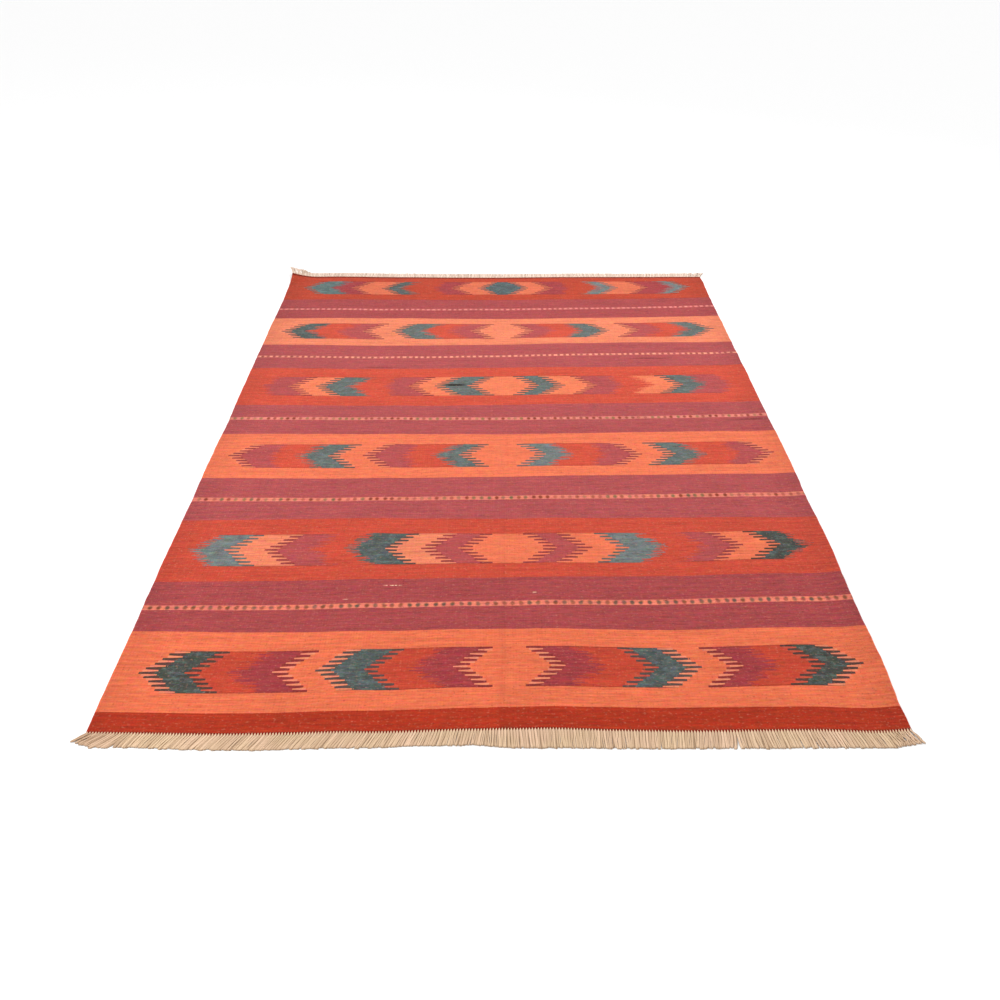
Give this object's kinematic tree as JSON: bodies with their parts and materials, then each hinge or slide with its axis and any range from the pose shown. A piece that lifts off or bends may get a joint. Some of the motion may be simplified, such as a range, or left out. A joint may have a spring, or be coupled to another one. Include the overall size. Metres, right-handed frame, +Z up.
{
  "type": "kilim rug",
  "caption": "Flat-woven kilim rug lying flat, with cross bands of comb-edged chevrons, dotted lines and a cut warp fringe at each end.",
  "frame": {"origin": "on the floor under the middle of the whole rug, fringes included", "axes": "+X across the rug, +Y along it from the near end to the far end, +Z up from the floor"},
  "size_m": [1.7432, 2.5783, 0.0224],
  "materials": {
    "weft_wool": "matt hand-woven wool in orange, red, plum and teal bands",
    "warp_cotton": "matt undyed plied cotton"
  },
  "bodies": {
    "root": {"woven_field": "weft_wool", "fringe_near": "warp_cotton", "fringe_far": "warp_cotton"}
  },
  "joints": []
}
